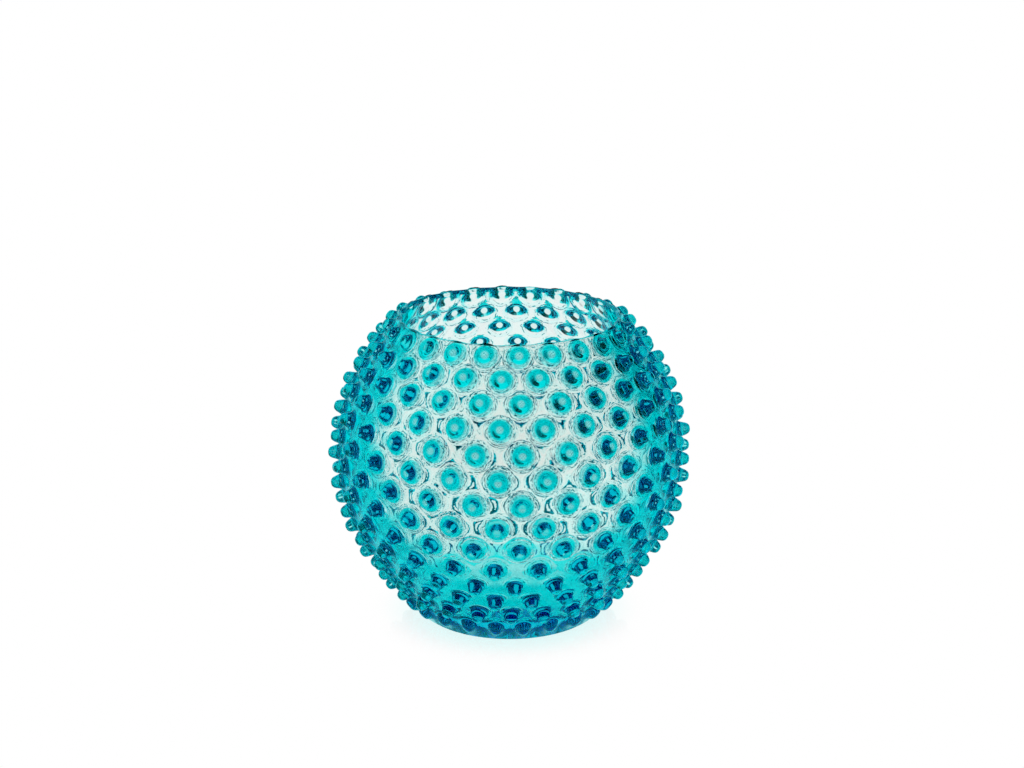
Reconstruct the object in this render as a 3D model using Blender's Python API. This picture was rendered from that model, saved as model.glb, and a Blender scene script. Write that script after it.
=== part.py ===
"""A ball-shaped hobnail glass vase: one closed body of mould-blown glass.

The wall is a ball whose top and bottom run out as straight cones. Fourteen staggered rows of pointed glass
knobs cover it. The mouth is a wide opening, cut flat, and the foot is a plain flat disc.

Metres, +Z up. The origin is the middle of the foot, on the surface that the vase stands on.
"""

import math

import bmesh
import bpy
from mathutils import Vector

# Driving dimensions
BALL_RADIUS = 0.0933
BALL_CENTRE_HEIGHT = 0.0928
CONE_START = math.radians(34)
VASE_HEIGHT = 0.170
WALL = 0.006
FLOOR_HEIGHT = 0.009
EDGE = 0.0012
INSIDE_CORNER = 0.005
INSIDE_RINGS = 9

# The knobs' rows, measured as an arc along the wall, up from the ball's widest line
KNOBS_PER_ROW = 24
ROWS = 14
TOP_ROW_ARC = 0.0787
ROW_PITCH = 0.0130

# The rows lean slowly sideways on their way down. Turns are shares of the knob pitch.
WIDEST_TURN = 0.290
WIDEST_TURN_ROW = 2.7
LEAN = 0.0027

# A knob stands on a wide base, narrows to a shoulder and ends in a point. The row at the foot is pressed
# flatter than the others.
KNOB_BASE_RADIUS = 0.0060
KNOB_SHOULDER_RADIUS = 0.0032
KNOB_SHOULDER_HEIGHT = 0.0042
KNOB_HEIGHT = 0.0067
FOOT_ROW_FLATNESS = 0.6

# Each knob has a six-cornered cell of the wall. The top and bottom corners lie this share of a row pitch away
# from the knob, and the side corners the rest of it.
CELL_POINT = 0.78
CORNERS = 6

RING_STEPS = 2 * KNOBS_PER_ROW
SHARP_ANGLE = math.radians(35)

GLASS_COLOUR = (0.0, 0.55, 0.62, 1.0)
GLASS_ROUGHNESS = 0.03
GLASS_IOR = 1.5


def wall_frame(arc):
    """Radius, height and slope of the outer wall at an arc length above the ball's widest line."""
    slope = max(-CONE_START, min(CONE_START, arc / BALL_RADIUS))
    along_cone = arc - slope * BALL_RADIUS
    radius = BALL_RADIUS * math.cos(slope) - along_cone * math.sin(slope)
    height = BALL_CENTRE_HEIGHT + BALL_RADIUS * math.sin(slope) + along_cone * math.cos(slope)
    return radius, height, slope


def cone_arc(height, depth=0.0):
    """Arc length at which the upper or lower cone, at a depth under its surface, has this height."""
    rise = abs(height - BALL_CENTRE_HEIGHT) - (BALL_RADIUS - depth) * math.sin(CONE_START)
    arc = BALL_RADIUS * CONE_START + rise / math.cos(CONE_START)
    return math.copysign(arc, height - BALL_CENTRE_HEIGHT)


def row_arc(row):
    return TOP_ROW_ARC - row * ROW_PITCH


def row_turn(row):
    """How far a row is turned from straight ahead, in ring steps."""
    return 2 * (WIDEST_TURN - LEAN * (row - WIDEST_TURN_ROW) ** 2)


def turned(radius, height, step):
    """A point on a level circle. Step 0 is straight ahead, along -Y, and there are two steps to a knob."""
    angle = step * 2 * math.pi / RING_STEPS - math.pi / 2
    return Vector((radius * math.cos(angle), radius * math.sin(angle), height))


def circle(bm, radius, height, turn):
    return [bm.verts.new(turned(radius, height, step + turn)) for step in range(RING_STEPS)]


def zigzag(bm, row):
    """The ring between a row and the next one down: low under this row's knobs, high over the next row's."""
    turn = (row_turn(row) + row_turn(row + 1)) / 2
    verts = []
    for step in range(RING_STEPS):
        under_knob = (step - row) % 2 == 0
        drop = CELL_POINT if under_knob else 1 - CELL_POINT
        radius, height, _ = wall_frame(row_arc(row) - drop * ROW_PITCH)
        verts.append(bm.verts.new(turned(radius, height, step + turn)))
    return verts


def loft(bm, first, second):
    """Faces between two closed rings of equally many vertices."""
    for i, vert in enumerate(first):
        j = (i + 1) % len(first)
        bm.faces.new((vert, first[j], second[j], second[i]))


def add_knob(bm, row, step, above, below):
    """The cell of the knob at one step of a row, between the rings above and below it."""
    right = (step + 1) % RING_STEPS
    left = step - 1
    cell = [above[step], above[left], below[left], below[step], below[right], above[right]]

    radius, height, slope = wall_frame(row_arc(row))
    middle = turned(radius, height, step + row_turn(row))
    outward = turned(math.cos(slope), math.sin(slope), step + row_turn(row))
    sideways = turned(1, 0, step + row_turn(row) + RING_STEPS / 4)
    upward = outward.cross(sideways)

    def knob_ring(radius, lift):
        verts = []
        for corner in range(CORNERS):
            angle = math.pi / 2 + corner * 2 * math.pi / CORNERS
            offset = sideways * math.cos(angle) + upward * math.sin(angle)
            verts.append(bm.verts.new(middle + outward * lift + offset * radius))
        return verts

    flatness = FOOT_ROW_FLATNESS if row == ROWS - 1 else 1
    base = knob_ring(KNOB_BASE_RADIUS, 0)
    shoulder = knob_ring(KNOB_SHOULDER_RADIUS, KNOB_SHOULDER_HEIGHT * flatness)
    point = bm.verts.new(middle + outward * KNOB_HEIGHT * flatness)
    loft(bm, cell, base)
    loft(bm, base, shoulder)
    for i, vert in enumerate(shoulder):
        bm.faces.new((vert, shoulder[(i + 1) % CORNERS], point))


def add_outside(bm):
    """The wall with its knobs, from the rim down. Returns its top and bottom rings."""
    radius, height, _ = wall_frame(cone_arc(VASE_HEIGHT - EDGE))
    top = circle(bm, radius, height, row_turn(0))
    above = top
    for row in range(ROWS):
        if row < ROWS - 1:
            below = zigzag(bm, row)
        else:
            radius, height, _ = wall_frame(cone_arc(EDGE))
            below = circle(bm, radius, height, row_turn(row))
        for step in range(row % 2, RING_STEPS, 2):
            add_knob(bm, row, step, above, below)
        above = below
    return top, above


def inside_profile():
    """Radius and height of the smooth inside, from the mouth down to the floor's rounded corner."""
    top = cone_arc(VASE_HEIGHT - EDGE, WALL)
    bottom = cone_arc(FLOOR_HEIGHT + INSIDE_CORNER, WALL)
    points = []
    for ring in range(INSIDE_RINGS + 1):
        radius, height, slope = wall_frame(top + (bottom - top) * ring / INSIDE_RINGS)
        points.append((radius - WALL * math.cos(slope), height - WALL * math.sin(slope)))
    corner_radius = points[-1][0] - INSIDE_CORNER
    return points + [(corner_radius, FLOOR_HEIGHT)]


def add_rim_and_inside(bm, top):
    """The flat cut rim, with small bevels, then the inside wall and the floor."""
    turn = row_turn(0)
    inside = inside_profile()
    outer_radius = wall_frame(cone_arc(VASE_HEIGHT))[0] - EDGE
    inner_radius = inside[0][0] + EDGE
    rings = [top]
    for radius, height in [(outer_radius, VASE_HEIGHT), (inner_radius, VASE_HEIGHT)] + inside:
        rings.append(circle(bm, radius, height, turn))
    for first, second in zip(rings, rings[1:]):
        loft(bm, first, second)
    bm.faces.new(rings[-1])


def add_foot(bm, bottom):
    """The flat underside, with a small bevel up to the wall."""
    radius = wall_frame(cone_arc(0))[0] - EDGE
    sole = circle(bm, radius, 0, row_turn(ROWS - 1))
    loft(bm, sole, bottom)
    bm.faces.new(reversed(sole))


def glass_material():
    material = bpy.data.materials.new("turquoise_glass")
    material.use_nodes = True
    shader = material.node_tree.nodes["Principled BSDF"]
    shader.inputs["Base Color"].default_value = GLASS_COLOUR
    shader.inputs["Roughness"].default_value = GLASS_ROUGHNESS
    shader.inputs["Metallic"].default_value = 0
    shader.inputs["IOR"].default_value = GLASS_IOR
    shader.inputs["Transmission Weight"].default_value = 1
    return material


def build():
    for thing in list(bpy.data.objects):
        bpy.data.objects.remove(thing, do_unlink=True)

    bm = bmesh.new()
    top, bottom = add_outside(bm)
    add_rim_and_inside(bm, top)
    add_foot(bm, bottom)
    mesh = bpy.data.meshes.new("glass_vase")
    bm.to_mesh(mesh)
    bm.free()
    mesh.shade_smooth()
    mesh.set_sharp_from_angle(angle=SHARP_ANGLE)
    mesh.materials.append(glass_material())

    vase = bpy.data.objects.new("glass_vase", mesh)
    collection = bpy.data.collections.new("hobnail_globe_vase")
    bpy.context.scene.collection.children.link(collection)
    collection.objects.link(vase)


build()
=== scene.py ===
"""Looks of the hobnail glass vase: one fine mesh of the blown glass, its turquoise material with fine ripples
round the knobs, a white light table with a soft mirror image, and soft studio light. Metres, +Z up, in the
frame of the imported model."""

import math

import bmesh
import bpy
import numpy as np
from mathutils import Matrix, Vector


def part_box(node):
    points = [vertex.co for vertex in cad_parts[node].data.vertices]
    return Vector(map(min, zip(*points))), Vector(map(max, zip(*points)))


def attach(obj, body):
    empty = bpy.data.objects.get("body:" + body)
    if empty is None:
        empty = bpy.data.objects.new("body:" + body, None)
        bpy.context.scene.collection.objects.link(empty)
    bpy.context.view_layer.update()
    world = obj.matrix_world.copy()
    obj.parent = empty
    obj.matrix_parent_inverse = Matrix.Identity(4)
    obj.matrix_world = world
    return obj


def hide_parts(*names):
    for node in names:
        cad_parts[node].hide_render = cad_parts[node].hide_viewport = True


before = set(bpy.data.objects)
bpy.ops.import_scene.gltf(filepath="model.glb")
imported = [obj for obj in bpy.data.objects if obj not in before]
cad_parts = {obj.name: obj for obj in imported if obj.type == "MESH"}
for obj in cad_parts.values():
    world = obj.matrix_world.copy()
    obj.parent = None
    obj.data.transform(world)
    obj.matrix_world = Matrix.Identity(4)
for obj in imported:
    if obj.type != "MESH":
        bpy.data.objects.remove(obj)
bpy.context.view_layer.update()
LOW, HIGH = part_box("glass_vase")

# The body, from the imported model's box: a ball between two cones, with a thin rim and a bevel round the foot
KNOB_HEIGHT = 0.0067
BALL_RADIUS = (HIGH.x - LOW.x) / 2 - KNOB_HEIGHT
VASE_HEIGHT = HIGH.z
BALL_CENTRE_HEIGHT = 0.546 * VASE_HEIGHT
CONE_START = math.radians(34)
WALL = 0.006
RIM_WALL = 0.0036
RIM_TAPER = 0.016
FLOOR_HEIGHT = 0.006
INSIDE_CORNER = 0.028
EDGE = 0.0012
FOOT_BEVEL_INSET = 0.3 * EDGE
FOOT_BEVEL_RISE = 0.4 * EDGE

# Slow waves of the blown wall. Each has a height, a number round the vase, a twist with the arc and a phase,
# and then the rate and phase at which it swells and fades along the arc.
WALL_WAVES = ((0.00010, 5, 40, 1.0, 55, 0.4), (0.00006, 11, -70, 2.1, 90, 1.7))

# The fire-polished rim is melted down a little, and waves over each knob and slowly all round
RIM_DROP = 0.0004
RIM_KNOB_WAVE = 0.00035
RIM_KNOB_WAVE_TURN = 0.04
RIM_SLOW_WAVE = 0.0002
RIM_SLOW_WAVES = 5
RIM_SLOW_WAVE_PHASE = 0.8

# The knobs' rows, measured as an arc along the wall, up from the ball's widest line
KNOBS_PER_ROW = 24
ROWS = 14
TOP_ROW_ARC = 0.0787
ROW_PITCH = 0.0130
CELL_POINT = 0.78
WIDEST_TURN = 0.290
WIDEST_TURN_ROW = 2.7
LEAN = 0.0027
FOOT_ROW_FLATNESS = 0.6
FOOT_ROW_DRIP = 1.6
TOP_ROW_FLATNESS = 0.72

# A knob: a round tip on a steep cone that flows into the wall by a fillet, which is wider to the sides
TIP_RADIUS = 0.0033
TIP_BLUNTNESS = 0.32
CONE_HALF_ANGLE = math.radians(19)
FILLET_RADIUS = 0.0027
FILLET_STRETCH = 0.15
STRETCH_FROM = 0.0035
STRETCH_FULL = 0.0065

# How far a knob stands off its place, and the spread of the knobs' heights
KNOB_SHIFT = 0.00018
KNOB_SPREAD = 0.015
random = np.random.RandomState(7)

# The fine mesh: vertices along a side of a six-sided cell, the radii of a knob's rings, and the turned rings
CELL_SIDES = 6
EDGE_SEGMENTS = 4
RING_RADII = np.array(
    [0.0010, 0.0019, 0.0026, 0.0031, 0.0034, 0.0039, 0.0043, 0.0050, 0.0058, 0.0066, 0.0071]
)
RIM_RINGS = 8
INSIDE_RINGS = 14
CORNER_RINGS = 8
FLOOR_RINGS = (0.6, 0.2)
RING_STEPS = 2 * KNOBS_PER_ROW
STEP_ANGLE = 2 * math.pi / RING_STEPS
AROUND = CELL_SIDES * EDGE_SEGMENTS
MERGE_DISTANCE = 2e-6
NUDGE = 1e-5
TINY = 1e-9
NORMAL_LAYER = "shape_normal"

# Tints of the glass: plain, in the knobs' fillets, at the foot, on steep skin, on the knobs, and painted shade
# in fine dark lines.
# The last two are the colour and strength of its body.
CLEAR = (0.92, 0.98, 0.94, 1)
FILLET_TINT = (0.68, 0.98, 0.95, 1)
FOOT_TINT = (0.0, 0.86, 0.86, 1)
SKIN_TINT = (0.0, 0.70, 0.72, 1)
KNOB_TINT = (0.0, 0.78, 0.78, 1)
# Painted shade: nearly black lines that stand in for the dark refraction of the ripples round the knobs
SHADE_LINE_TINT = (0.0, 0.09, 0.11, 1)
BODY_COLOUR = (0.0, 0.66, 0.80, 1)
BODY_DENSITY = 18.0

# Tints of its reflections: on the outside, and those inside the glass at the foot, in the wall and at the rim
SKIN_MIRROR = (0.0, 0.97, 0.98, 1)
FOOT_MIRROR = (0.0, 0.82, 0.96, 1)
WALL_MIRROR = (0.0, 0.80, 0.90, 1)
RIM_MIRROR = (0.30, 0.95, 0.95, 1)
SPECULAR_TINT = (0.0, 0.9, 0.9, 1)
GLASS_IOR = 1.5
COAT_IOR = 1.05

# Where the tints change, by height over the table
FOOT_WALL = (0.004, 0.024)
FOOT_DISC = (0.002, 0.006)
FOOT_DISC_SHARE = 0.8
FOOT_MIRROR_END = (0.010, 0.020)
RIM_MIRROR_START = (VASE_HEIGHT - 0.018, VASE_HEIGHT - 0.008)

# Where they change, by distance from the nearest knob's axis
KNOB_END = (0.0060, 0.0067)
FILLET_START = (0.0046, 0.0060)
FILLET_END = (0.0076, 0.0088)
BEYOND_FILLET = 0.02

# Where they change, by how steeply the surface is seen, from 0 for straight on to 1 for edge on
KNOB_ENTRY = (0.02, 0.30)
KNOB_STRAIGHT_SHARE = 0.42
KNOB_EXIT = (0.15, 0.27)
FILLET_EXIT = (0.17, 0.23)
SKIN_STEEP = (0.28, 0.48)
INSIDE_STEEP = (0.52, 0.68)
MIRROR_START = (0.255, 0.32)
SHADE_LINE_FADE = (0.34, 0.58)

# Ripples round each knob, swayed by a coarse noise, with painted shade lines on their crests that a fine noise
# breaks up
COARSE_NOISE = {"Scale": 260, "Detail": 1.5}
FINE_NOISE = {"Scale": 420, "Detail": 0.0}
RIPPLE_RATE = 3700.0
RIPPLE_SWAY = 12.0
RIPPLE_SHARE = 0.12
NOISE_SHARE = 0.8
BUMP_DEPTH = 0.00025
SHADE_LINE_CREST = (0.45, 0.85)
SHADE_LINE_BREAK = (0.50, 0.58)
HAZE_START = (0.45, 0.70)
HAZE_ROUGHNESS = 0.025

# The light table, with a painted pool of coloured light and the shine on it by distance from the middle of the
# foot
TABLE_SIZE = 16
TABLE_HEIGHT = -0.0002
TABLE_WHITE = (1, 1, 1, 1)
PAINTED_CAST_LIGHT = (0.84, 1.0, 0.99, 1)
PAINTED_CAST_END = (0.045, 0.075)
SHINE = 0.12
SHINE_END = (0.045, 0.085)
SHINE_ROUGHNESS = 0.03

# The studio: white, dark high up and to the right, dim in front, with a lamp overhead
STUDIO_WHITE = (1, 1, 1, 1)
DARK_SLANT = 0.7
DARK_START = (0.49, 0.59)
DARK_LIGHT = 0.02
FRONT_SLANT = 0.6
FRONT_END = (-0.5, 0.3)
FRONT_LIGHT = 0.05
LAMP_START = (0.80, 0.88)
LAMP_LIGHT = 0.8

# The camera
TARGET = Vector((0, 0, 0.499 * VASE_HEIGHT))
CAMERA_DISTANCE = 1.164
CAMERA_ELEVATION = math.radians(19.2)
SENSOR_WIDTH = 36
LENS = 74.0
SHIFT_X = 0.0026
SHIFT_Y = 0.077
BOUNCES = 32
GLOSSY_BOUNCES = 16


def wall_frame(arc):
    """Radius, height and slope of the outer wall at arc lengths above the ball's widest line."""
    slope = np.clip(arc / BALL_RADIUS, -CONE_START, CONE_START)
    along_cone = arc - slope * BALL_RADIUS
    radius = BALL_RADIUS * np.cos(slope) - along_cone * np.sin(slope)
    height = BALL_CENTRE_HEIGHT + BALL_RADIUS * np.sin(slope) + along_cone * np.cos(slope)
    return radius, height, slope


def cone_arc(height, depth=0.0):
    """Arc length at which the upper or lower cone, at a depth under its surface, has this height."""
    rise = abs(height - BALL_CENTRE_HEIGHT) - (BALL_RADIUS - depth) * math.sin(CONE_START)
    arc = BALL_RADIUS * CONE_START + rise / math.cos(CONE_START)
    return math.copysign(arc, height - BALL_CENTRE_HEIGHT)


def row_arc(row):
    """Arc length of the middle of a row of knobs."""
    return TOP_ROW_ARC - row * ROW_PITCH


def row_turn(row):
    """How far a row of knobs is turned about the vase's axis, in half spacings of the knobs."""
    return 2 * (WIDEST_TURN - LEAN * (row - WIDEST_TURN_ROW) ** 2)


def row_tallness(row):
    """The share of the full height that the knobs of a row have."""
    return {0: TOP_ROW_FLATNESS, ROWS - 1: FOOT_ROW_FLATNESS}.get(row, 1)


def smooth_step(value, low, high):
    """Rises smoothly from 0 at low to 1 at high."""
    share = np.clip((value - low) / (high - low), 0, 1)
    return share * share * (3 - 2 * share)


def knob_profile(distance):
    """Height above the wall of a knob at distances from its axis: tip, cone, fillet, wall."""
    lean = math.tan(CONE_HALF_ANGLE)
    tip_edge = TIP_RADIUS * math.cos(CONE_HALF_ANGLE)
    tip_edge_height = KNOB_HEIGHT - TIP_RADIUS * (1 - math.sin(CONE_HALF_ANGLE))
    fillet_end = tip_edge + tip_edge_height * lean
    fillet_end += FILLET_RADIUS * (1 / math.cos(CONE_HALF_ANGLE) - lean)
    fillet_start = fillet_end - FILLET_RADIUS * math.cos(CONE_HALF_ANGLE)

    blunt = 1 - TIP_BLUNTNESS * (1 - np.clip(distance / tip_edge, 0, 1) ** 2) ** 2
    tip = KNOB_HEIGHT - TIP_RADIUS + np.sqrt(np.clip(TIP_RADIUS**2 - (distance * blunt) ** 2, 0, None))
    cone = tip_edge_height - (distance - tip_edge) / lean
    reach = np.clip(fillet_end - distance, 0, FILLET_RADIUS)
    fillet = FILLET_RADIUS - np.sqrt(FILLET_RADIUS**2 - reach**2)
    return np.where(distance < tip_edge, tip, np.where(distance < fillet_start, cone, fillet))


def wall_waves(angle, arc):
    """How far the blown wall's slow waves lift it."""
    lift = 0.0
    for height, count, twist, phase, fade, fade_phase in WALL_WAVES:
        lift = lift + height * np.sin(count * angle + twist * arc + phase) * np.sin(fade * arc + fade_phase)
    return lift


def rim_waves(angle):
    """How far the rim rises above its plain height."""
    over_knobs = RIM_KNOB_WAVE * np.cos(KNOBS_PER_ROW * (angle - RIM_KNOB_WAVE_TURN))
    slow = RIM_SLOW_WAVE * np.sin(RIM_SLOW_WAVES * angle + RIM_SLOW_WAVE_PHASE)
    return over_knobs + slow - RIM_DROP


def place(arc, angle, lift):
    """Points at arc lengths and angles, lifted off the outer wall along its normal."""
    radius, height, slope = wall_frame(arc)
    radius = radius + lift * np.cos(slope)
    height = height + lift * np.sin(slope)
    return np.stack([radius * np.cos(angle), radius * np.sin(angle), height], axis=-1)


def wall_axes(arc, angle):
    """The directions out of the wall, aside along it and up along it."""
    slope = wall_frame(arc)[2]
    cos, sin = np.cos(slope), np.sin(slope)
    out = np.stack([cos * np.cos(angle), cos * np.sin(angle), sin], axis=-1)
    aside = np.stack([-np.sin(angle), np.cos(angle), np.zeros_like(angle)], axis=-1)
    up = np.stack([-sin * np.cos(angle), -sin * np.sin(angle), cos], axis=-1)
    return out, aside, up


def cell_border(row, top_arc, bottom_arc):
    """Steps aside from the knob and arcs of its cell's border, anticlockwise from the top, for one row."""
    middle = row_arc(row)
    near, far = (1 - CELL_POINT) * ROW_PITCH, CELL_POINT * ROW_PITCH
    above = [(0, top_arc), (-1, top_arc), (1, top_arc)]
    below = [(-1, bottom_arc), (0, bottom_arc), (1, bottom_arc)]
    if row > 0:
        up = (row_turn(row - 1) - row_turn(row)) / 2
        above = [(up, middle + far), (up - 1, middle + near), (up + 1, middle + near)]
    if row < ROWS - 1:
        down = (row_turn(row + 1) - row_turn(row)) / 2
        below = [(down - 1, middle - near), (down, middle - far), (down + 1, middle - near)]
    corners = np.array([above[0], above[1], below[0], below[1], below[2], above[2]])
    share = np.arange(EDGE_SEGMENTS)[:, None] / EDGE_SEGMENTS
    edges = [a * (1 - share) + b * share for a, b in zip(corners, np.roll(corners, -1, axis=0))]
    return np.concatenate(edges)


def loft(bm, first, second):
    """Faces between two closed rings of equally many vertices."""
    for i, vert in enumerate(first):
        j = (i + 1) % len(first)
        bm.faces.new((vert, first[j], second[j], second[i]))


def add_patch(bm, row, step, border):
    """The fine mesh of one knob and its cell, with its exact normals."""
    turn = (step + row_turn(row)) * STEP_ANGLE - math.pi / 2
    off_axis = random.normal(0, KNOB_SHIFT, 2)
    tallness = (1 + random.normal(0, KNOB_SPREAD)) * row_tallness(row)

    # Places beside and above the middle of the cell: the knob's axis, its rings, and the cell's border
    around = math.pi / 2 + np.arange(AROUND) * 2 * math.pi / AROUND
    border_x = border[:, 0] * STEP_ANGLE * wall_frame(border[:, 1])[0]
    border_y = border[:, 1] - row_arc(row)
    x = [off_axis[:1]] + [off_axis[0] + radius * np.cos(around) for radius in RING_RADII] + [border_x]
    y = [off_axis[1:]] + [off_axis[1] + radius * np.sin(around) for radius in RING_RADII] + [border_y]
    x, y = np.concatenate(x), np.concatenate(y)
    within_cell = np.arange(len(x)) < len(x) - len(border)

    def lift(x, y):
        """Height over the plain wall: that of the knob, except on the border, and of the wall's waves."""
        aside, up = x - off_axis[0], y - off_axis[1]
        if row == ROWS - 1:
            up = np.where(up < 0, up / FOOT_ROW_DRIP, up)
        distance = np.hypot(aside, up)
        sideways = aside**2 / np.maximum(distance, TINY) ** 2
        stretch = 1 + FILLET_STRETCH * sideways * smooth_step(distance, STRETCH_FROM, STRETCH_FULL)
        arc = row_arc(row) + y
        waves = wall_waves(x / wall_frame(arc)[0] + turn, arc)
        return knob_profile(distance / stretch) * tallness * within_cell + waves

    arc = row_arc(row) + y
    angle = x / wall_frame(arc)[0] + turn
    points = place(arc, angle, lift(x, y))
    slope_x = (lift(x + NUDGE, y) - lift(x - NUDGE, y)) / (2 * NUDGE)
    slope_y = (lift(x, y + NUDGE) - lift(x, y - NUDGE)) / (2 * NUDGE)
    out, aside, up = wall_axes(arc, angle)
    normals = out - slope_x[:, None] * aside - slope_y[:, None] * up
    normals /= np.linalg.norm(normals, axis=1)[:, None]
    layer = bm.verts.layers.float_vector[NORMAL_LAYER]
    verts = [bm.verts.new(p) for p in points]
    for vert, normal in zip(verts, normals):
        vert[layer] = normal

    rings = [verts[1 + i * AROUND : 1 + (i + 1) * AROUND] for i in range(len(RING_RADII) + 1)]
    for i in range(AROUND):
        bm.faces.new((rings[0][i], rings[0][(i + 1) % AROUND], verts[0]))
    for inner, outer in zip(rings, rings[1:]):
        loft(bm, outer, inner)


def seam_angles(row):
    """Angles of the vertices at which the first or last row of cells ends and a turned part begins."""
    steps = np.arange(EDGE_SEGMENTS * RING_STEPS) / EDGE_SEGMENTS
    return (steps + row_turn(row)) * STEP_ANGLE - math.pi / 2


def turned_ring(bm, arc, depth, angles):
    """A ring of vertices at a depth under the outer wall, at one arc length or one for each angle."""
    arc = np.broadcast_to(arc, angles.shape)
    return [bm.verts.new(p) for p in place(arc, angles, wall_waves(angles, arc) - depth)]


def level_ring(bm, radius, height, angles):
    """A round, level ring of vertices."""
    x, y = radius * np.cos(angles), radius * np.sin(angles)
    return [bm.verts.new(p) for p in np.stack([x, y, np.full_like(x, height)], axis=-1)]


def add_rim_and_inside(bm, top_arc):
    """The rim, bent over from the outer wall, and from there the inside down to the floor."""
    angles = seam_angles(0)
    rings = []
    for ring in range(RIM_RINGS):
        bend = math.pi * ring / RIM_RINGS
        arc = top_arc + (RIM_WALL / 2 + rim_waves(angles)) * math.sin(bend)
        rings.append(turned_ring(bm, arc, RIM_WALL / 2 * (1 - math.cos(bend)), angles))

    corner_arc = cone_arc(FLOOR_HEIGHT + INSIDE_CORNER * (1 - math.sin(CONE_START)), WALL)
    for ring in range(INSIDE_RINGS + 1):
        arc = top_arc + (corner_arc - top_arc) * ring / INSIDE_RINGS
        wall = RIM_WALL + (WALL - RIM_WALL) * smooth_step(top_arc - arc, 0, RIM_TAPER)
        rings.append(turned_ring(bm, arc, wall, angles))

    corner_start = np.array([vert.co for vert in rings[-1]])
    corner_start_radius = float(np.hypot(corner_start[:, 0], corner_start[:, 1]).mean())
    flat_radius = corner_start_radius - INSIDE_CORNER * math.cos(CONE_START)
    for ring in range(1, CORNER_RINGS + 1):
        bend = CONE_START + (math.pi / 2 - CONE_START) * ring / CORNER_RINGS
        height = FLOOR_HEIGHT + INSIDE_CORNER * (1 - math.sin(bend))
        rings.append(level_ring(bm, flat_radius + INSIDE_CORNER * math.cos(bend), height, angles))
    for share in FLOOR_RINGS:
        rings.append(level_ring(bm, flat_radius * share, FLOOR_HEIGHT, angles))
    for first, second in zip(rings, rings[1:]):
        loft(bm, first, second)
    bm.faces.new(rings[-1])


def add_foot(bm, bottom_arc):
    """The bevel round the foot, and the flat disc under it."""
    angles = seam_angles(ROWS - 1)
    radius = float(wall_frame(cone_arc(0))[0])
    rings = [turned_ring(bm, bottom_arc, 0, angles)]
    rings.append(level_ring(bm, radius - FOOT_BEVEL_INSET, FOOT_BEVEL_RISE, angles))
    rings.append(level_ring(bm, radius - EDGE, 0, angles))
    for first, second in zip(rings, rings[1:]):
        loft(bm, second, first)
    bm.faces.new(reversed(rings[-1]))


def vase_mesh():
    """The whole glass as one closed mesh, with the exact normals of the knobs and the wall round them."""
    bm = bmesh.new()
    bm.verts.layers.float_vector.new(NORMAL_LAYER)
    top_arc = cone_arc(VASE_HEIGHT - RIM_WALL / 2, RIM_WALL / 2)
    bottom_arc = cone_arc(EDGE)
    for row in range(ROWS):
        border = cell_border(row, top_arc, bottom_arc)
        for step in range(row % 2, RING_STEPS, 2):
            add_patch(bm, row, step, border)
    add_rim_and_inside(bm, top_arc)
    add_foot(bm, bottom_arc)
    bmesh.ops.remove_doubles(bm, verts=bm.verts, dist=MERGE_DISTANCE)
    bmesh.ops.triangulate(bm, faces=[f for f in bm.faces if len(f.verts) > 4])

    mesh = bpy.data.meshes.new("blown_glass_vase")
    bm.to_mesh(mesh)
    bm.free()
    mesh.shade_smooth()
    normals = [tuple(item.vector) for item in mesh.attributes[NORMAL_LAYER].data]
    mesh.attributes.remove(mesh.attributes[NORMAL_LAYER])
    mesh.normals_split_custom_set_from_vertices(normals)
    return mesh


class Maths:
    """Writes arithmetic and mixes of colours as nodes of one tree."""

    # The Mix node's sockets for colours
    COLOUR_INPUTS = slice(6, 8)
    COLOUR_OUTPUT = 2

    def __init__(self, tree):
        self.tree = tree

    def feed(self, socket, value):
        """Links an input to another node's output, or sets it to a number or a colour."""
        if isinstance(value, bpy.types.NodeSocket):
            self.tree.links.new(value, socket)
        else:
            socket.default_value = value

    def __call__(self, operation, *values):
        """One operation of the Math node."""
        node = self.tree.nodes.new("ShaderNodeMath")
        node.operation = operation
        for socket, value in zip(node.inputs, values):
            self.feed(socket, value)
        return node.outputs[0]

    def product(self, *values):
        """All the values multiplied together."""
        result = values[0]
        for value in values[1:]:
            result = self("MULTIPLY", result, value)
        return result

    def hypot(self, a, b):
        """The length of the longest side of a right triangle with the sides a and b."""
        return self("SQRT", self("ADD", self("MULTIPLY", a, a), self("MULTIPLY", b, b)))

    def choose(self, condition, yes, no):
        """The first value where the condition is 1 and the second where it is 0."""
        not_chosen = self("MULTIPLY", no, self("SUBTRACT", 1, condition))
        return self("ADD", self("MULTIPLY", yes, condition), not_chosen)

    def smooth(self, value, edges, start=0.0, end=1.0):
        """Goes smoothly from start to end while the value goes from the first edge to the second."""
        node = self.tree.nodes.new("ShaderNodeMapRange")
        node.interpolation_type = "SMOOTHSTEP"
        sockets = [node.inputs[name] for name in ("Value", "From Min", "From Max", "To Min", "To Max")]
        for socket, setting in zip(sockets, (value, *edges, start, end)):
            self.feed(socket, setting)
        return node.outputs["Result"]

    def mix(self, factor, first, second):
        """The first colour where the factor is 0 and the second where it is 1."""
        node = self.tree.nodes.new("ShaderNodeMix")
        node.data_type = "RGBA"
        sockets = (node.inputs["Factor"], *node.inputs[self.COLOUR_INPUTS])
        for socket, value in zip(sockets, (factor, first, second)):
            self.feed(socket, value)
        return node.outputs[self.COLOUR_OUTPUT]

    def split(self, vector):
        """The X, Y and Z of a vector."""
        node = self.tree.nodes.new("ShaderNodeSeparateXYZ")
        self.feed(node.inputs[0], vector)
        return tuple(node.outputs)

    def noise(self, vector, settings):
        """A smooth noise round 0.5."""
        node = self.tree.nodes.new("ShaderNodeTexNoise")
        self.feed(node.inputs["Vector"], vector)
        for name, value in settings.items():
            self.feed(node.inputs[name], value)
        return node.outputs[0]


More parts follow.
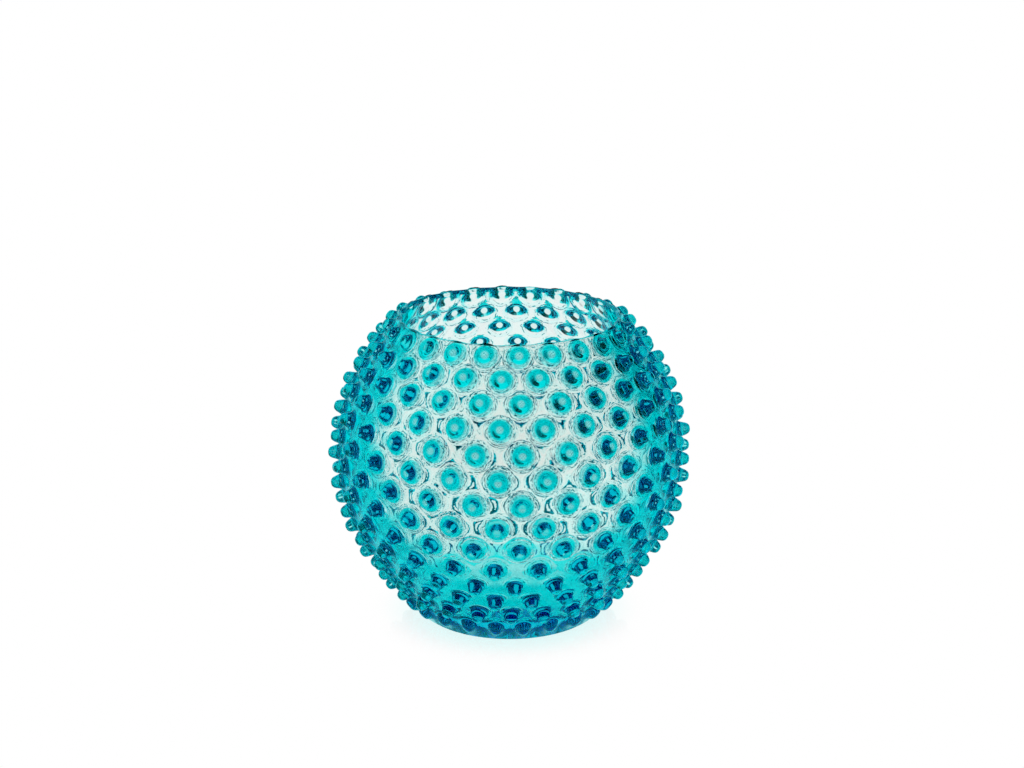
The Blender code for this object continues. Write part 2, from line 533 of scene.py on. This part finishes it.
def wall_place(m, radius, z):
    """Sockets for the height over the plain outer wall, and for the arc along it that wall_frame takes."""
    rise = m("SUBTRACT", z, BALL_CENTRE_HEIGHT)
    tall = m("ABSOLUTE", rise)
    latitude = m("ARCTAN2", tall, radius)
    on_cone = m("GREATER_THAN", latitude, CONE_START)
    cos, sin = math.cos(CONE_START), math.sin(CONE_START)
    out_cone = m("ADD", m("MULTIPLY", radius, cos), m("MULTIPLY", tall, sin))
    height = m("SUBTRACT", m.choose(on_cone, out_cone, m.hypot(radius, rise)), BALL_RADIUS)
    along_cone = m("SUBTRACT", m("MULTIPLY", tall, cos), m("MULTIPLY", radius, sin))
    arc_cone = m("ADD", along_cone, BALL_RADIUS * CONE_START)
    arc = m.choose(on_cone, arc_cone, m("MULTIPLY", latitude, BALL_RADIUS))
    return height, m("MULTIPLY", arc, m("SIGN", rise))


def knob_distance(m, x, y, radius, arc):
    """A socket for the distance along the wall from the nearest knob's axis."""
    row = m("DIVIDE", m("SUBTRACT", TOP_ROW_ARC, arc), ROW_PITCH)
    step = m("MULTIPLY", m("ADD", m("ARCTAN2", y, x), math.pi / 2), RING_STEPS / (2 * math.pi))

    def distance_to_row(whole_row):
        from_widest = m("SUBTRACT", whole_row, WIDEST_TURN_ROW)
        lean = m("MULTIPLY", m("MULTIPLY", from_widest, from_widest), -2 * LEAN)
        turn = m("ADD", m("ADD", lean, 2 * WIDEST_TURN), whole_row)
        aside = m("WRAP", m("SUBTRACT", step, turn), 1, -1)
        aside = m("MULTIPLY", m("MULTIPLY", aside, radius), STEP_ANGLE)
        return m.hypot(aside, m("MULTIPLY", m("SUBTRACT", row, whole_row), ROW_PITCH))

    lower = m("MAXIMUM", m("FLOOR", row), 0)
    upper = m("MINIMUM", m("CEIL", row), ROWS - 1)
    return m("MINIMUM", distance_to_row(lower), distance_to_row(upper))


def glass_material():
    """Clear glass with its colour in the body, tints by place and by how steeply the surface is seen, and
    painted shade lines round the knobs.
    """
    material = bpy.data.materials.new("turquoise_glass")
    material.use_nodes = True
    tree = material.node_tree
    shader = tree.nodes["Principled BSDF"]
    m = Maths(tree)

    geometry = tree.nodes.new("ShaderNodeNewGeometry")
    x, y, z = m.split(geometry.outputs["Position"])
    radius = m.hypot(x, y)
    height, arc = wall_place(m, radius, z)
    distance = knob_distance(m, x, y, radius, arc)
    outside = m("GREATER_THAN", height, -WALL / 2)
    inside_glass = geometry.outputs["Backfacing"]
    in_air = m("SUBTRACT", 1, inside_glass)
    facing = tree.nodes.new("ShaderNodeLayerWeight").outputs["Facing"]

    # By place: the foot, the knobs, and the ring of each knob's fillet
    foot_wall = m("MULTIPLY", m.smooth(z, FOOT_WALL, 1, 0), outside)
    at_foot = m("MAXIMUM", foot_wall, m.smooth(z, FOOT_DISC, FOOT_DISC_SHARE, 0))
    on_knob = m("MULTIPLY", m.smooth(distance, KNOB_END, 1, 0), outside)
    before_end = m.smooth(distance, FILLET_END, 1, BEYOND_FILLET)
    fillet = m.product(m.smooth(distance, FILLET_START), before_end, outside)

    # By angle: light that crosses a knob off its axis, steep skin, and light mirrored inside the glass
    entry = m("MULTIPLY", m.smooth(facing, KNOB_ENTRY, KNOB_STRAIGHT_SHARE, 1), in_air)
    leaving = m("MULTIPLY", m.smooth(facing, KNOB_EXIT), inside_glass)
    off_axis = m("MULTIPLY", on_knob, m("ADD", entry, leaving))
    off_axis = m("MAXIMUM", off_axis, m.product(m.smooth(facing, FILLET_EXIT), inside_glass, fillet))
    skin = m.product(m.smooth(facing, SKIN_STEEP), outside, in_air)
    steep = m("MAXIMUM", skin, m("MULTIPLY", m.smooth(facing, INSIDE_STEEP), in_air))
    mirrored = m("MULTIPLY", m.smooth(facing, MIRROR_START), inside_glass)

    # Ripples, painted shade lines and a slight haze in the fillets
    place_on_vase = tree.nodes.new("ShaderNodeTexCoord").outputs["Object"]
    coarse = m.noise(place_on_vase, COARSE_NOISE)
    fine = m.noise(place_on_vase, FINE_NOISE)
    ripple = m("SINE", m("ADD", m("MULTIPLY", distance, RIPPLE_RATE), m("MULTIPLY", coarse, RIPPLE_SWAY)))
    uneven = m("ADD", m("MULTIPLY", ripple, RIPPLE_SHARE), m("MULTIPLY", coarse, NOISE_SHARE))
    # Painted shade: dark lines on the ripples' crests in the fillets, fading where the surface is seen edge on
    shade_line = m.product(m.smooth(ripple, SHADE_LINE_CREST), m.smooth(fine, SHADE_LINE_BREAK), fillet)
    shade_line = m("MULTIPLY", shade_line, m.smooth(facing, SHADE_LINE_FADE, 1, 0))
    haze = m.smooth(coarse, HAZE_START, 0, HAZE_ROUGHNESS)
    bump = tree.nodes.new("ShaderNodeBump")
    bump.inputs["Strength"].default_value = 1.0
    bump.inputs["Distance"].default_value = BUMP_DEPTH
    m.feed(bump.inputs["Height"], m("MULTIPLY", uneven, fillet))
    m.feed(shader.inputs["Normal"], bump.outputs["Normal"])
    m.feed(shader.inputs["Roughness"], m("MULTIPLY", haze, fillet))

    colour = m.mix(fillet, CLEAR, FILLET_TINT)
    for mask, tint in ((at_foot, FOOT_TINT), (steep, SKIN_TINT), (off_axis, KNOB_TINT), (shade_line, SHADE_LINE_TINT)):
        colour = m.mix(mask, colour, tint)
    m.feed(shader.inputs["Base Color"], colour)
    shader.inputs["IOR"].default_value = GLASS_IOR
    shader.inputs["Transmission Weight"].default_value = 1.0
    shader.inputs["Specular Tint"].default_value = SPECULAR_TINT

    mirror = m.mix(m.smooth(z, FOOT_MIRROR_END, 1, 0), WALL_MIRROR, FOOT_MIRROR)
    mirror = m.mix(m.smooth(z, RIM_MIRROR_START), mirror, RIM_MIRROR)
    m.feed(shader.inputs["Coat Tint"], m.mix(mirrored, SKIN_MIRROR, mirror))
    m.feed(shader.inputs["Coat Weight"], m("MAXIMUM", m("MAXIMUM", mirrored, skin), off_axis))
    shader.inputs["Coat IOR"].default_value = COAT_IOR
    shader.inputs["Coat Roughness"].default_value = 0.0

    volume = tree.nodes.new("ShaderNodeVolumeAbsorption")
    volume.inputs["Color"].default_value = BODY_COLOUR
    volume.inputs["Density"].default_value = BODY_DENSITY
    m.feed(tree.nodes["Material Output"].inputs["Volume"], volume.outputs[0])
    return material


def table_material():
    """A table that glows white, with a painted pool of the vase's coloured light in its glow round the foot
    and a soft shine near it.
    """
    material = bpy.data.materials.new("white_light_table")
    material.use_nodes = True
    tree = material.node_tree
    tree.nodes.remove(tree.nodes["Principled BSDF"])
    m = Maths(tree)
    x, y, _ = m.split(tree.nodes.new("ShaderNodeNewGeometry").outputs["Position"])
    radius = m.hypot(x, y)
    glow = tree.nodes.new("ShaderNodeEmission")
    glow.inputs["Strength"].default_value = 1.0
    # Painted light: the glow turns pale cyan round the foot, standing in for the light the vase casts
    m.feed(glow.inputs["Color"], m.mix(m.smooth(radius, PAINTED_CAST_END, 1.0, 0.0), TABLE_WHITE, PAINTED_CAST_LIGHT))
    gloss = tree.nodes.new("ShaderNodeBsdfGlossy")
    gloss.inputs["Roughness"].default_value = SHINE_ROUGHNESS
    mix = tree.nodes.new("ShaderNodeMixShader")
    m.feed(mix.inputs[0], m.smooth(radius, SHINE_END, SHINE, 0.0))
    m.feed(mix.inputs[1], glow.outputs[0])
    m.feed(mix.inputs[2], gloss.outputs[0])
    m.feed(tree.nodes["Material Output"].inputs["Surface"], mix.outputs[0])
    return material


def make_world():
    """The studio's light by direction. The camera itself sees it white all round."""
    world = bpy.data.worlds.new("soft_studio")
    bpy.context.scene.world = world
    world.use_nodes = True
    tree = world.node_tree
    m = Maths(tree)
    x, y, z = m.split(tree.nodes.new("ShaderNodeTexCoord").outputs["Generated"])
    high_right = m("ADD", z, m("MULTIPLY", x, DARK_SLANT))
    behind = m("SUBTRACT", y, m("MULTIPLY", x, FRONT_SLANT))
    light = m.smooth(high_right, DARK_START, 1.0, DARK_LIGHT)
    light = m("MULTIPLY", light, m.smooth(behind, FRONT_END, FRONT_LIGHT, 1.0))
    light = m("ADD", light, m.smooth(z, LAMP_START, 0.0, LAMP_LIGHT))
    seen = tree.nodes.new("ShaderNodeLightPath").outputs["Is Camera Ray"]
    back = tree.nodes["Background"]
    back.inputs["Color"].default_value = STUDIO_WHITE
    m.feed(back.inputs["Strength"], m("MAXIMUM", light, seen))


def make_camera():
    """The camera in front of the vase, tilted down at it."""
    data = bpy.data.cameras.new("camera")
    data.sensor_width = SENSOR_WIDTH
    data.lens = LENS
    data.shift_x = SHIFT_X
    data.shift_y = SHIFT_Y
    camera = bpy.data.objects.new("camera", data)
    bpy.context.scene.collection.objects.link(camera)
    away = Vector((0, -math.cos(CAMERA_ELEVATION), math.sin(CAMERA_ELEVATION)))
    camera.location = TARGET + away * CAMERA_DISTANCE
    camera.rotation_euler = (math.pi / 2 - CAMERA_ELEVATION, 0, 0)
    return camera


vase = bpy.data.objects.new("blown_glass_vase", vase_mesh())
bpy.context.scene.collection.objects.link(vase)
vase.data.materials.append(glass_material())
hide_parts("glass_vase")
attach(vase, "root")

bpy.ops.mesh.primitive_plane_add(size=TABLE_SIZE, location=(0, 0, TABLE_HEIGHT))
table = bpy.context.object
table.name = "light_table"
table.data.materials.append(table_material())

make_world()
bpy.context.scene.camera = make_camera()

# The light crosses many surfaces of the glass
bpy.context.scene.cycles.max_bounces = BOUNCES
bpy.context.scene.cycles.transmission_bounces = BOUNCES
bpy.context.scene.cycles.glossy_bounces = GLOSSY_BOUNCES
bpy.context.scene.view_settings.view_transform = "Standard"
